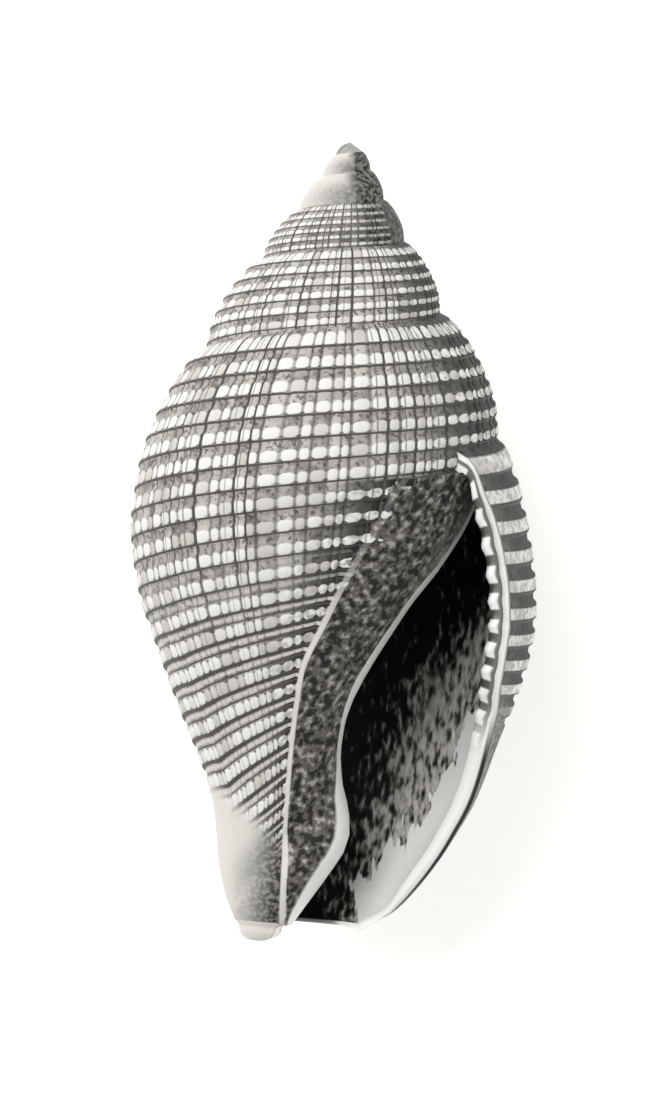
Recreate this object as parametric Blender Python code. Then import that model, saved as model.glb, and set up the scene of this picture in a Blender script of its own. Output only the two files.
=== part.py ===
"""A ribbed, pointed sea snail shell lying on its back with its opening up.

The shell is one hollow solid. Its wall winds round the Y axis with the apex at +Y, and an angle
in degrees tells how far it has grown: 0 is the right side of the last turn, TURN is one turn,
and growth stopped at LIP_ANGLE. A row tells the place across the wall, from the suture (0) to
the base (BASE_ROW), and rows follow the spiral cords, one for each. A place in a section is a
vector of depth below the apex and radius from the coil axis, in millimetres.
"""

import math
from functools import lru_cache

import bmesh
import bpy
from mathutils import Vector

MM = 0.001
NAME = "shell"
TURN = 360.0
HALF_TURN = 180.0

# The base, where the canal opens, and the pillar's tip past it. Each ring of the tip has the
# size it starts from, the size it draws in to, and its depth below the base.
BASE_DEPTH = 39.0
TIP_RINGS = ((1.0, 0.88, 0.3), (0.88, 0.66, 0.65), (0.66, 0.36, 0.92))
TIP_RISE = 1.0

# The suture's depth and radius each half turn, from the apex to past the lip.
SUTURE_START = -11 * HALF_TURN
SUTURE_DEPTHS = (0.12, 0.40, 0.75, 1.30, 1.90, 2.70, 3.60, 4.73, 6.17, 8.13, 10.75, 14.08, 18.45,
                 24.15)
SUTURE_RADII = (0.33, 0.55, 0.78, 1.03, 1.33, 1.80, 2.33, 2.98, 3.98, 5.03, 6.47, 8.36, 9.55,
                11.0)

# How the radius swells between one suture and the next, as shares of both steps.
WHORL_SWELL = ((0, 0), (0.05, 0.17), (0.15, 0.36), (0.3, 0.56), (0.5, 0.77), (0.75, 0.94), (1, 1))

# Depth and radius below the shoulder, at four half turns: the hidden pillar, the pillar seen
# in the opening, the left outline and the right outline.
PILLAR_HIDDEN = ((10.75, 6.47), (13.0, 5.9), (15.0, 4.9), (19.0, 2.5), (21.5, 1.65), (25.0, 1.4),
                 (31.0, 1.4), (35.0, 1.45), (37.3, 1.15), (39.0, 0.9))
PILLAR_SEEN = ((14.08, 8.36), (15.2, 8.2), (16.4, 7.7), (18.3, 7.0), (20.3, 5.9), (22.0, 4.66),
               (23.6, 3.68), (25.1, 2.8), (26.6, 2.05), (28.2, 1.68), (30.2, 1.58), (32.2, 1.83),
               (33.65, 2.38), (34.9, 2.7), (36.5, 2.35), (37.9, 1.85), (39.0, 1.3))
LEFT_OUTLINE = ((18.45, 9.55), (19.5, 9.6), (20.8, 9.45), (23.0, 8.95), (25.3, 8.0), (28.4, 6.59),
                (31.7, 4.94), (33.6, 4.11), (36.1, 2.97), (37.3, 2.29), (38.3, 1.74), (39.0, 1.3))
RIGHT_OUTLINE = ((23.0, 11.05), (24.8, 10.86), (26.8, 10.4), (28.9, 9.7), (31.6, 8.88), (33.7, 8.1),
                 (35.3, 7.63), (36.6, 7.15), (38.0, 6.35), (39.0, 5.0))
OUTLINES = (PILLAR_HIDDEN, PILLAR_SEEN, LEFT_OUTLINE, RIGHT_OUTLINE)
FIRST_OUTLINE_ANGLE = -3 * HALF_TURN

# The pillar's foot bends away from the coil axis.
FOOT_DRIFT = -1.5
FOOT_DRIFT_DEPTHS = (32.3, 39.3)

# Spiral cords, and the smooth rows of the canal below them. A groove's depth is a share of the
# cords' spacing, the first whorls are smooth, and the cords end at a depth for each angle.
SPIRE_CORDS = 6
CORDS = 22
CANAL_ROWS = 4
BASE_ROW = CORDS + CANAL_ROWS
RIBBED_LIMIT = BASE_DEPTH - 1.4
GROOVE_SHARE = 0.16
SMOOTH_UNTIL = -1080.0
RIBBED_FROM = -640.0
CORDS_END = ((-318, 34.8), (-250, 34.1), (-180, 32.4), (-90, 35.2), (-30, 33.2), (0, 29.7),
             (42, 28.7))
CORDS_FADE = 0.75

# The lip: the angle of its edge at each depth, and the wall's extra thickness towards it.
LIP_ANGLE = 42.0
LIP_EDGE = ((15.0, 42), (15.7, 38), (17.0, 36.5), (18.2, 33.6), (21.1, 30.5), (24.9, 28.8),
            (26.4, 27), (28.0, 22), (30.8, 16), (35.3, 11), (38.0, 4), (39.0, 0))
LIP_REACH = 100.0
LIP_EXTRA_WALL = 0.4
LIP_THICK_REACH = 45.0
RIM_BULGE = 0.28
RIM_CORNER = 45.0
BASEWARD = Vector((0, -1, 0))

# The wall, and the hollow behind the lip with its floor on the pillar.
THINNEST_WALL = 0.25
WALL_SHARE = 0.04
HOLLOW_END = LIP_ANGLE - 900.0
CANAL_END = LIP_ANGLE - 180.0
FLOOR_GROWTH = 1.33
FLOOR_LIFT = 0.07
FLOOR_ROWS = 8.0
FLOOR_FADE = 40.0
SEAM_ROW = SPIRE_CORDS + 1
SEAM_ROWS = 3.0

# The glaze on the front lies right of this line: depth, and distance from the axis.
GLAZE_EDGE = ((14.4, 7.0), (15.0, 5.5), (15.9, 4.35), (17.1, 3.45), (18.7, 2.7), (21.1, 1.5),
              (23.8, 0.35), (26.6, -0.6), (31.0, -0.8), (39.0, -0.7))
GLAZE_SOFTNESS = 0.5
GLAZE_THICKNESS = 0.15

# The small flat spot on the back, below the coil axis.
REST_DROP = 9.93

# Facets: angles between columns, and rows for each cord. They are coarser deep in the hollow.
OUTER_STEP = 7.5
INNER_STEP = 15.0
DEEP_STEP = 30.0
DEEP_UNTIL = LIP_ANGLE - 240.0
ROWS_PER_CORD = 2
CORD_ROWS = [row / ROWS_PER_CORD for row in range(CORDS * ROWS_PER_CORD)]
OUTER_ROWS = [*CORD_ROWS, *range(CORDS, BASE_ROW + 1)]
OPENING_ANGLE = LIP_ANGLE - TURN
COARSE_UNTIL = OPENING_ANGLE - TURN
APEX_COLUMNS = 136
APEX_ANGLE = LIP_ANGLE - APEX_COLUMNS * INNER_STEP
SHARP_ANGLE = 50.0
WELD = 0.002

# How finely the rules are read: halvings in a search, and rows to each side for a slope.
HALVINGS = 30
SLOPE_REACH = 0.25

SHELL_COLOUR = "#E4E1DA"
SHELL_ROUGHNESS = 0.45


def smooth_step(low, high, value):
    share = min(max((value - low) / (high - low), 0.0), 1.0)
    return share * share * (3 - 2 * share)


def slope_at(points, index):
    """Slope of a curve that never overshoots its points."""
    first = max(index - 1, 0)
    last = min(index + 1, len(points) - 1)
    before, here, after = points[first], points[index], points[last]
    if index in (first, last):
        return (after[1] - before[1]) / (after[0] - before[0])
    slope_before = (here[1] - before[1]) / (here[0] - before[0])
    slope_after = (after[1] - here[1]) / (after[0] - here[0])
    if slope_before * slope_after <= 0:
        return 0.0
    return 2 * slope_before * slope_after / (slope_before + slope_after)


def read_curve(points, x):
    """Smooth curve through a few points, level past both ends."""
    if x <= points[0][0]:
        return points[0][1]
    if x >= points[-1][0]:
        return points[-1][1]
    index = max(number for number, point in enumerate(points) if point[0] <= x)
    (x0, y0), (x1, y1) = points[index:index + 2]
    width = x1 - x0
    t = (x - x0) / width
    level = y0 * (1 - 3 * t ** 2 + 2 * t ** 3) + y1 * (3 * t ** 2 - 2 * t ** 3)
    leaving = slope_at(points, index) * width * (t - 2 * t ** 2 + t ** 3)
    arriving = slope_at(points, index + 1) * width * (t ** 3 - t ** 2)
    return level + leaving + arriving


def blend_values(values, position):
    """Smooth curve through evenly spaced values."""
    index = min(max(math.floor(position), 0), len(values) - 2)
    t = position - index
    a = values[max(index - 1, 0)]
    b, c = values[index], values[index + 1]
    d = values[min(index + 2, len(values) - 1)]
    curve = 2 * b + (c - a) * t + (2 * a - 5 * b + 4 * c - d) * t ** 2
    return 0.5 * (curve + (3 * b - a - 3 * c + d) * t ** 3)


@lru_cache(maxsize=None)
def suture_depth(angle):
    return blend_values(SUTURE_DEPTHS, (angle - SUTURE_START) / HALF_TURN)


@lru_cache(maxsize=None)
def suture_radius(angle):
    return blend_values(SUTURE_RADII, (angle - SUTURE_START) / HALF_TURN)


def cord_spacing(angle):
    return (suture_depth(angle + TURN) - suture_depth(angle)) / SPIRE_CORDS


def row_depth(angle, row):
    """Cords keep their spacing, squeezed where they would run past the base."""
    top = suture_depth(angle)
    ribbed = cord_spacing(angle) * CORDS
    below = cord_spacing(angle) * min(row, CORDS)
    squeeze = max(0.0, top + ribbed - RIBBED_LIMIT) / ribbed
    depth = top + below * (1 - squeeze * below / ribbed)
    canal_share = max(0.0, row - CORDS) / CANAL_ROWS
    return depth + (BASE_DEPTH - depth) * canal_share


def row_at_depth(angle, depth):
    low, high = 0.0, float(BASE_ROW)
    for _ in range(HALVINGS):
        middle = (low + high) / 2
        if row_depth(angle, middle) < depth:
            low = middle
        else:
            high = middle
    return high


def shoulder_radius(angle, depth):
    share = (depth - suture_depth(angle)) / (cord_spacing(angle) * SPIRE_CORDS)
    top = suture_radius(angle)
    return top + (suture_radius(angle + TURN) - top) * read_curve(WHORL_SWELL, share)


@lru_cache(maxsize=None)
def outline_changes(row):
    """How the radius changes below the shoulder, at each half turn that has an outline."""
    changes = []
    for number, outline in enumerate(OUTLINES):
        angle = FIRST_OUTLINE_ANGLE + number * HALF_TURN
        start = read_curve(outline, row_depth(angle, SPIRE_CORDS))
        changes.append(read_curve(outline, row_depth(angle, row)) - start)
    changes.append(2 * changes[-1] - changes[-2])
    return tuple(changes)


def wall_section(angle, row):
    """Depth and radius on the smooth wall."""
    depth = row_depth(angle, row)
    if row <= SPIRE_CORDS:
        return Vector((depth, shoulder_radius(angle, depth)))
    shoulder = shoulder_radius(angle, row_depth(angle, SPIRE_CORDS))
    outlined = max(angle, FIRST_OUTLINE_ANGLE)
    change = blend_values(outline_changes(row), (outlined - FIRST_OUTLINE_ANGLE) / HALF_TURN)
    return Vector((depth, shoulder + change * suture_depth(angle) / suture_depth(outlined)))


def wall_normal(angle, row):
    """Outward direction of the smooth wall in its section."""
    above = wall_section(angle, max(row - SLOPE_REACH, 0.0))
    below = wall_section(angle, min(row + SLOPE_REACH, float(BASE_ROW)))
    along = below - above
    return Vector((-along.y, along.x)).normalized()


def axis_drift(depth):
    return FOOT_DRIFT * smooth_step(*FOOT_DRIFT_DEPTHS, depth)


def place(angle, section):
    turn = math.radians(angle)
    across = axis_drift(section.x) + section.y * math.cos(turn)
    return Vector((across, -section.x, section.y * math.sin(turn))) * MM


def glaze_cover(angle, row, section):
    """1 on the glaze beside the opening, 0 on the ribbed wall."""
    if row < SEAM_ROW or angle > OPENING_ANGLE + HALF_TURN:
        return 0.0
    across = axis_drift(section.x) + section.y * math.cos(math.radians(angle))
    edge = read_curve(GLAZE_EDGE, section.x)
    on_front = smooth_step(edge - GLAZE_SOFTNESS, edge + GLAZE_SOFTNESS, across)
    in_opening = smooth_step(OPENING_ANGLE + OUTER_STEP, OPENING_ANGLE, angle)
    return max(on_front, in_opening)


def groove_depth(angle, row, section):
    groove = math.cos(math.pi * row) ** 2 * GROOVE_SHARE * cord_spacing(angle)
    groove *= smooth_step(SMOOTH_UNTIL, RIBBED_FROM, angle)
    end = read_curve(CORDS_END, angle)
    return groove * (1 - smooth_step(end - CORDS_FADE, end + CORDS_FADE, section.x))


def relief(angle, row):
    """Step from the smooth wall to its grooved or glazed surface."""
    section = wall_section(angle, row)
    covered = glaze_cover(angle, row, section)
    height = GLAZE_THICKNESS * covered - groove_depth(angle, row, section) * (1 - covered)
    return wall_normal(angle, row) * height


def lip_shift(angle, row):
    """The last stretch of the turn is shifted so that it ends on the lip's edge."""
    edge = read_curve(LIP_EDGE, row_depth(LIP_ANGLE, row))
    return (edge - LIP_ANGLE) * smooth_step(LIP_ANGLE - LIP_REACH, LIP_ANGLE, angle)


def outer_point(angle, row):
    turned = angle + lip_shift(angle, row)
    step = relief(turned, row)
    if row < 1:
        step = relief(angle - TURN, SPIRE_CORDS + row).lerp(step, row)
    return place(turned, wall_section(turned, row) + step)


def floor_depth(angle):
    """Where the hollow ends: at the base by the canal, and higher up deeper inside."""
    rise = min(angle - CANAL_END, 0.0) / HALF_TURN
    lifted = 1 - FLOOR_LIFT * min(-rise, 1.0)
    return BASE_DEPTH * FLOOR_GROWTH ** rise * lifted


def pillar_section(angle, row):
    """The pillar's wall inside the hollow, for rows from SEAM_ROW to BASE_ROW."""
    last = row_at_depth(angle, floor_depth(angle + TURN))
    share = (row - SEAM_ROW) / (BASE_ROW - SEAM_ROW)
    own_row = SEAM_ROW + (last - SEAM_ROW) * share
    return wall_section(angle, own_row) + wall_normal(angle, own_row) * GLAZE_THICKNESS


def pillar_point(angle, row):
    return place(angle, pillar_section(angle, row))


def thinned_section(angle, row):
    lip_share = smooth_step(LIP_ANGLE - LIP_THICK_REACH, LIP_ANGLE, angle)
    middle_share = 1 - (2 * row / BASE_ROW - 1) ** 4
    extra = LIP_EXTRA_WALL * lip_share * middle_share
    wall = THINNEST_WALL + WALL_SHARE * suture_depth(angle) + extra
    return wall_section(angle, row) - wall_normal(angle, row) * wall


def floor_correction(angle):
    """Brings the inner wall's foot onto the pillar where the canal is closed."""
    joined = min(angle, CANAL_END)
    last = row_at_depth(joined, floor_depth(joined))
    miss = pillar_section(joined - TURN, BASE_ROW) - thinned_section(joined, last)
    return miss * (1 - smooth_step(CANAL_END, CANAL_END + FLOOR_FADE, angle))


def inner_section(angle, row):
    own_row = row * row_at_depth(angle, floor_depth(angle)) / BASE_ROW
    section = thinned_section(angle, own_row)
    at_seam = pillar_section(angle - TURN, SEAM_ROW) - thinned_section(angle, 0.0)
    section += at_seam * max(0.0, 1 - row / SEAM_ROWS) ** 2
    near_floor = max(0.0, 1 - (BASE_ROW - row) / FLOOR_ROWS) ** 2
    return section + floor_correction(angle) * near_floor


def inner_point(angle, row):
    turned = angle + lip_shift(angle, row)
    return place(turned, inner_section(turned, row))


def rim_point(outer, inner, direction, share):
    """A point on the rounded rim between the outer wall (share 0) and the inner wall (1)."""
    return outer.lerp(inner, share) + direction * RIM_BULGE * math.sin(math.pi * share) * MM


def growing_direction(row):
    turn = math.radians(LIP_ANGLE + lip_shift(LIP_ANGLE, row))
    return Vector((-math.sin(turn), 0, math.cos(turn)))


def free_lip_point(row, share):
    towards_base = smooth_step(CORDS, BASE_ROW, row) / 2
    direction = growing_direction(row).lerp(BASEWARD, towards_base).normalized()
    return rim_point(outer_point(LIP_ANGLE, row), inner_point(LIP_ANGLE, row), direction, share)


def lip_rim_point(row, share):
    """The lip's rim, whose upper end lies on the turn before it."""
    on_seam = outer_point(OPENING_ANGLE, SPIRE_CORDS + share)
    miss = on_seam - free_lip_point(0, share)
    return free_lip_point(row, share) + miss * max(0.0, 1 - row) ** 2


def base_rim_point(angle, share):
    towards_lip = smooth_step(LIP_ANGLE - RIM_CORNER, LIP_ANGLE, angle) / 2
    direction = BASEWARD.lerp(growing_direction(BASE_ROW), towards_lip).normalized()
    return rim_point(outer_point(angle, BASE_ROW), inner_point(angle, BASE_ROW), direction, share)


def steps(start, stop, step):
    count = round((stop - start) / step)
    return [start + step * number for number in range(count + 1)]


def add_patch(bm, columns, rows, point_at):
    """A grid whose corners are placed by a rule."""
    last_column = len(columns) - 1
    last_row = len(rows) - 1
    grid = bmesh.ops.create_grid(bm, x_segments=last_column, y_segments=last_row, size=1.0)
    for vert in grid["verts"]:
        column = round((vert.co.x + 1) / 2 * last_column)
        row = round((vert.co.y + 1) / 2 * last_row)
        vert.co = point_at(columns[column], rows[row])


def add_chain(bm, points):
    verts = [bm.verts.new(point) for point in points]
    return [bm.edges.new(pair) for pair in zip(verts, verts[1:])]


def add_bridge(bm, first_points, second_points):
    """A strip between two lines of points, which may differ in number."""
    bmesh.ops.bridge_loops(bm, edges=add_chain(bm, first_points) + add_chain(bm, second_points))


def add_early_whorls(bm):
    joined = COARSE_UNTIL - TURN
    rows = steps(0, SPIRE_CORDS, 1)
    add_patch(bm, steps(APEX_ANGLE, joined, INNER_STEP), rows, outer_point)
    add_patch(bm, steps(joined, COARSE_UNTIL, INNER_STEP), rows[:-1], outer_point)
    above = [outer_point(angle, rows[-2]) for angle in steps(joined, COARSE_UNTIL, INNER_STEP)]
    seam = [outer_point(angle, rows[-1]) for angle in steps(joined, COARSE_UNTIL, OUTER_STEP)]
    add_bridge(bm, above, seam)


def add_later_whorls(bm):
    fine_rows = steps(0, SPIRE_CORDS, 1 / ROWS_PER_CORD)
    first_column = COARSE_UNTIL + OUTER_STEP
    coarse = [outer_point(COARSE_UNTIL, row) for row in steps(0, SPIRE_CORDS, 1)]
    add_bridge(bm, coarse, [outer_point(first_column, row) for row in fine_rows])
    add_patch(bm, steps(first_column, OPENING_ANGLE, OUTER_STEP), fine_rows, outer_point)
    add_patch(bm, steps(OPENING_ANGLE, LIP_ANGLE, OUTER_STEP), OUTER_ROWS, outer_point)


def add_wall_inside(bm, point_at, start, first_row, shallow_columns, opening):
    """One wall of the hollow: coarse where it is deep, finer towards the opening."""
    deep_columns = steps(start, shallow_columns[0] - DEEP_STEP, DEEP_STEP)
    deep_rows = [first_row, *range(first_row + 1, BASE_ROW, 2), BASE_ROW]
    rows = steps(first_row, BASE_ROW, 1)
    add_patch(bm, deep_columns, deep_rows, point_at)
    add_patch(bm, shallow_columns, rows, point_at)
    last_deep = [point_at(deep_columns[-1], row) for row in deep_rows]
    add_bridge(bm, last_deep, [point_at(shallow_columns[0], row) for row in rows])
    add_bridge(bm, [point_at(shallow_columns[-1], row) for row in rows], opening)
    return [point_at(start, row) for row in deep_rows]


def add_hollow(bm):
    """The pillar's wall, the inside of the outer wall, and the hollow's blind end."""
    opening = [outer_point(OPENING_ANGLE, row) for row in OUTER_ROWS if row >= SEAM_ROW]
    columns = steps(DEEP_UNTIL - TURN, OPENING_ANGLE - INNER_STEP, INNER_STEP)
    pillar_end = add_wall_inside(bm, pillar_point, HOLLOW_END - TURN, SEAM_ROW, columns, opening)

    behind_lip = [inner_point(LIP_ANGLE, row) for row in OUTER_ROWS]
    columns = steps(DEEP_UNTIL, LIP_ANGLE - INNER_STEP, INNER_STEP)
    inner_end = add_wall_inside(bm, inner_point, HOLLOW_END, 0, columns, behind_lip)
    add_bridge(bm, inner_end[1:-1], pillar_end[1:-1])


def add_rim(bm):
    add_patch(bm, OUTER_ROWS, (0, 0.5, 1), lip_rim_point)
    outer_columns = steps(CANAL_END, LIP_ANGLE, OUTER_STEP)
    inner_columns = steps(CANAL_END, LIP_ANGLE, INNER_STEP)
    add_patch(bm, outer_columns, (0, 0.5), base_rim_point)
    middle = [base_rim_point(angle, 0.5) for angle in outer_columns]
    add_bridge(bm, middle, [inner_point(angle, BASE_ROW) for angle in inner_columns])


def add_tip(bm, border):
    """Rounds off the pillar's tip with rings that draw in to its middle."""
    middle = sum((vert.co for edge in border for vert in edge.verts), Vector()) / (2 * len(border))
    for size, next_size, rise in TIP_RINGS:
        ring = bmesh.ops.extrude_edge_only(bm, edges=border)["geom"]
        verts = [item for item in ring if isinstance(item, bmesh.types.BMVert)]
        border = [item for item in ring if isinstance(item, bmesh.types.BMEdge) and item.is_boundary]
        for vert in verts:
            vert.co = middle.lerp(vert.co, next_size / size)
            vert.co.y = -(BASE_DEPTH + rise) * MM
    cap = bmesh.ops.holes_fill(bm, edges=border, sides=0)["faces"]
    centre = bmesh.ops.poke(bm, faces=cap)["verts"][0]
    centre.co.y = -(BASE_DEPTH + TIP_RISE) * MM


def close_ends(bm):
    """Closes the pillar's tip, the apex and the corners of the hollow's blind end."""
    borders = [edge for edge in bm.edges if edge.is_boundary]
    add_tip(bm, [edge for edge in borders if max(vert.co.y for vert in edge.verts) < -RIBBED_LIMIT * MM])
    borders = [edge for edge in bm.edges if edge.is_boundary]
    caps = bmesh.ops.holes_fill(bm, edges=borders, sides=0)["faces"]
    apex = max(caps, key=lambda face: face.calc_center_median().y)
    apex_centre = bmesh.ops.poke(bm, faces=[apex])["verts"][0]
    apex_centre.co.y = 0.0
    bmesh.ops.recalc_face_normals(bm, faces=bm.faces)


def flatten_back(bm):
    for vert in bm.verts:
        vert.co.z = max(vert.co.z, -REST_DROP * MM)


def centre_on_flat(bm):
    """Moves the origin under the middle of the shell, level with its flat spot."""
    across = [vert.co.x for vert in bm.verts]
    along = [vert.co.y for vert in bm.verts]
    middle = Vector((max(across) + min(across), max(along) + min(along), 0)) / 2
    bmesh.ops.translate(bm, verts=bm.verts, vec=Vector((0, 0, REST_DROP * MM)) - middle)


def shell_mesh():
    bm = bmesh.new()
    add_early_whorls(bm)
    add_later_whorls(bm)
    add_hollow(bm)
    add_rim(bm)
    bmesh.ops.remove_doubles(bm, verts=bm.verts, dist=WELD * MM)
    close_ends(bm)
    flatten_back(bm)
    centre_on_flat(bm)
    mesh = bpy.data.meshes.new(NAME)
    bm.to_mesh(mesh)
    bm.free()
    mesh.shade_smooth()
    mesh.set_sharp_from_angle(angle=math.radians(SHARP_ANGLE))
    return mesh


def linear_share(share):
    if share <= 0.04045:
        return share / 12.92
    return ((share + 0.055) / 1.055) ** 2.4


def linear_colour(text):
    """A linear colour from its sRGB hex form."""
    shares = [int(text[start:start + 2], 16) / 255 for start in (1, 3, 5)]
    return (*map(linear_share, shares), 1.0)


def shell_material():
    material = bpy.data.materials.new("bone white shell")
    material.use_nodes = True
    surface = material.node_tree.nodes["Principled BSDF"]
    surface.inputs["Base Color"].default_value = linear_colour(SHELL_COLOUR)
    surface.inputs["Roughness"].default_value = SHELL_ROUGHNESS
    surface.inputs["Metallic"].default_value = 0.0
    return material


def build():
    for old in list(bpy.data.objects):
        bpy.data.objects.remove(old)
    shell = bpy.data.objects.new(NAME, shell_mesh())
    shell.data.materials.append(shell_material())
    bpy.context.scene.collection.objects.link(shell)


build()
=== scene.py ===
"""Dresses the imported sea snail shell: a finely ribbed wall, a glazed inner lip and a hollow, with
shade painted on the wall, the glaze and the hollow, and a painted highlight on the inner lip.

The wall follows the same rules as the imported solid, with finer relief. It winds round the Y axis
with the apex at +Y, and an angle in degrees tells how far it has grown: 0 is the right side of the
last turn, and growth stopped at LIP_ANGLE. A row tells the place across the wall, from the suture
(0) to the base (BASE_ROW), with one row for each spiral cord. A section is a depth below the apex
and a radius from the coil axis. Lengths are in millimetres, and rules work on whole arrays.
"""

import math
from functools import partial

import bmesh
import bpy
import numpy as np
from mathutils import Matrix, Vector


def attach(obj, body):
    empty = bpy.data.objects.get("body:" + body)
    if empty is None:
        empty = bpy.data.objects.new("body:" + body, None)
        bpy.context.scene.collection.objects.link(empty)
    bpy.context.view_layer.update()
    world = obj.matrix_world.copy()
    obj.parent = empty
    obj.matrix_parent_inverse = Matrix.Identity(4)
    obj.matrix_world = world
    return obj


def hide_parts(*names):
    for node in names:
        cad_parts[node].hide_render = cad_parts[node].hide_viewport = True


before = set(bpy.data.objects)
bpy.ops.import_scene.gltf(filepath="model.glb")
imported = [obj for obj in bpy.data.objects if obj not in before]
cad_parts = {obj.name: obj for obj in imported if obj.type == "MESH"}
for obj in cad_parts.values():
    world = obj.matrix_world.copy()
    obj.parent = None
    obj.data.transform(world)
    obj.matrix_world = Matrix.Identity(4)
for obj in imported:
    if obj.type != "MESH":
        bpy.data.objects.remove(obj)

MM = 0.001
TURN = 360.0
HALF_TURN = 180.0
LIP_ANGLE = 42.0

# The base, where the canal opens, and the pillar's tip past it: each ring's size and rise.
BASE_DEPTH = 39.0
TIP_RINGS = ((0.93, 0.10), (0.80, 0.17), (0.74, 0.30), (0.74, 0.45), (0.68, 0.62), (0.54, 0.80),
             (0.33, 0.94))
TIP_RISE = 1.0

# The suture's depth and radius each half turn, from the apex to past the lip.
SUTURE_START = -11 * HALF_TURN
SUTURE_DEPTHS = np.array((0.12, 0.40, 0.75, 1.30, 1.90, 2.70, 3.60, 4.73, 6.17, 8.13, 10.75, 14.08,
                          18.45, 24.15))
SUTURE_RADII = np.array((0.33, 0.55, 0.78, 1.03, 1.33, 1.80, 2.33, 2.98, 3.98, 5.03, 6.47, 8.36,
                         9.55, 11.0))

# How the radius swells between one suture and the next, as shares of both steps.
WHORL_SWELL = ((0, 0), (0.05, 0.17), (0.15, 0.36), (0.3, 0.56), (0.5, 0.77), (0.75, 0.94), (1, 1))

# Depth and radius below the shoulder, at four half turns: the hidden pillar, the pillar seen
# in the opening, the left outline and the right outline.
PILLAR_HIDDEN = ((10.75, 6.47), (13.0, 5.9), (15.0, 4.9), (19.0, 2.5), (21.5, 1.65), (25.0, 1.4),
                 (31.0, 1.4), (35.0, 1.45), (37.3, 1.15), (39.0, 0.9))
PILLAR_SEEN = ((14.08, 8.36), (15.2, 8.2), (16.4, 7.7), (18.3, 7.0), (20.3, 5.9), (22.0, 4.66),
               (23.6, 3.68), (25.1, 2.8), (26.6, 2.05), (28.2, 1.68), (30.2, 1.58), (32.2, 1.83),
               (33.65, 2.38), (34.9, 2.7), (36.5, 2.35), (37.9, 1.85), (39.0, 1.3))
LEFT_OUTLINE = ((18.45, 9.55), (19.5, 9.6), (20.8, 9.45), (23.0, 8.95), (25.3, 8.0), (28.4, 6.59),
                (31.7, 4.94), (33.6, 4.11), (36.1, 2.97), (37.3, 2.29), (38.3, 1.74), (39.0, 1.3))
RIGHT_OUTLINE = ((23.0, 11.05), (24.8, 10.86), (26.8, 10.4), (28.9, 9.7), (31.6, 8.88), (33.7, 8.1),
                 (35.3, 7.63), (36.6, 7.15), (38.0, 6.35), (39.0, 5.0))
OUTLINES = (PILLAR_HIDDEN, PILLAR_SEEN, LEFT_OUTLINE, RIGHT_OUTLINE)
FIRST_OUTLINE_ANGLE = -3 * HALF_TURN

# The pillar's foot bends away from the coil axis.
FOOT_DRIFT = -1.5
FOOT_DRIFT_DEPTHS = (32.3, 39.3)

# Spiral cords, and the smooth rows of the canal below them.
SPIRE_CORDS = 6
CORDS = 22
CANAL_ROWS = 4
BASE_ROW = CORDS + CANAL_ROWS
RIBBED_LIMIT = BASE_DEPTH - 1.4
SMOOTH_UNTIL = -1110.0
RIBBED_FROM = -950.0
CORDS_END = ((-318, 35.6), (-250, 35.0), (-215, 33.6), (-180, 32.4), (-90, 35.2), (-30, 32.6),
             (0, 28.7), (42, 27.2))
CORDS_FADE = 0.75

# The relief of one cord: the floor of its groove, its flat top, the groove's depth as a share of
# the spacing, and the fine thread that the lower grooves carry.
GROOVE_FLOOR = 0.1
CORD_TOP = 0.25
GROOVE_SHARE = 0.1
FINE_THREAD_ROWS = (9.0, 13.0)
FINE_THREAD_SHARE = 0.45

# The narrow lengthwise furrows cut the cords into cells. They fade on the lower wall and near
# the lip, and their spacing is as uneven as growth was.
FURROW_DEPTH = 0.11
FURROW_WIDTH = 0.22
FURROW_ROWS = (8.0, 15.0)
FURROW_LEFT_BELOW = 0.45
FURROW_LIP_FADE = (-12.0, 14.0)
CALM_SIDE = (0.75, 1.0)
FURROW_LEFT_CALM = 0.4
LIP_SMOOTH_REACH = 9.0

# The lip: the angle of its edge at each depth, and the wall's extra thickness towards it.
LIP_EDGE = ((15.0, 42), (15.7, 38), (17.0, 36.5), (18.2, 33.6), (21.1, 30.5), (24.9, 28.8),
            (26.4, 27), (28.0, 22), (30.8, 16), (35.3, 11), (38.0, 4), (39.0, 0))
LIP_REACH = 100.0
LIP_EXTRA_WALL = 0.4
LIP_THICK_REACH = 45.0
RIM_CORNER = 45.0
BASEWARD = np.array((0.0, -1.0, 0.0))

# The lip's face: a ridge along its outer edge, a trough, and teeth at its inner edge, one for
# each groove outside. Low down on the lip it is one plain rounded edge.
RIM_BULGE = 0.28
CANAL_BULGE = 0.07
RIM_RIDGE = ((0, 0), (0.04, 0.15), (0.09, 0.22), (0.2, 0.17), (0.36, 0.04), (0.5, 0), (0.65, 0.03),
             (0.85, 0.08), (1, 0))
PLAIN_RIM_ROWS = (9.0, 12.0)
TOOTH_HEIGHT = 0.16
TOOTH_RISE = 0.2
TOOTH_SHARES = (0.45, 0.72, 1.05)
TOOTH_LENGTH = 0.36
TOOTH_ROWS = (1.0, 2.0, 9.5, 11.5)
TOOTH_REACH = 7.0

# The wall, and the hollow behind the lip with its floor on the pillar.
THINNEST_WALL = 0.25
WALL_SHARE = 0.04
CANAL_WALL_ROWS = (19.0, 26.0)
CANAL_WALL_LEFT = 0.35
HOLLOW_END = LIP_ANGLE - 900.0
CANAL_END = LIP_ANGLE - 180.0
CANAL_RIM_ANGLES = (-30.0, 10.0)
FLOOR_GROWTH = 1.33
FLOOR_LIFT = 0.07
FLOOR_ROWS = 8.0
CANAL_OPENS = (CANAL_END, CANAL_END + 40.0)
SEAM_ROW = SPIRE_CORDS + 1
SEAM_ROWS = 3.0
HALVINGS = 30
SLOPE_REACH = 0.25
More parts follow.
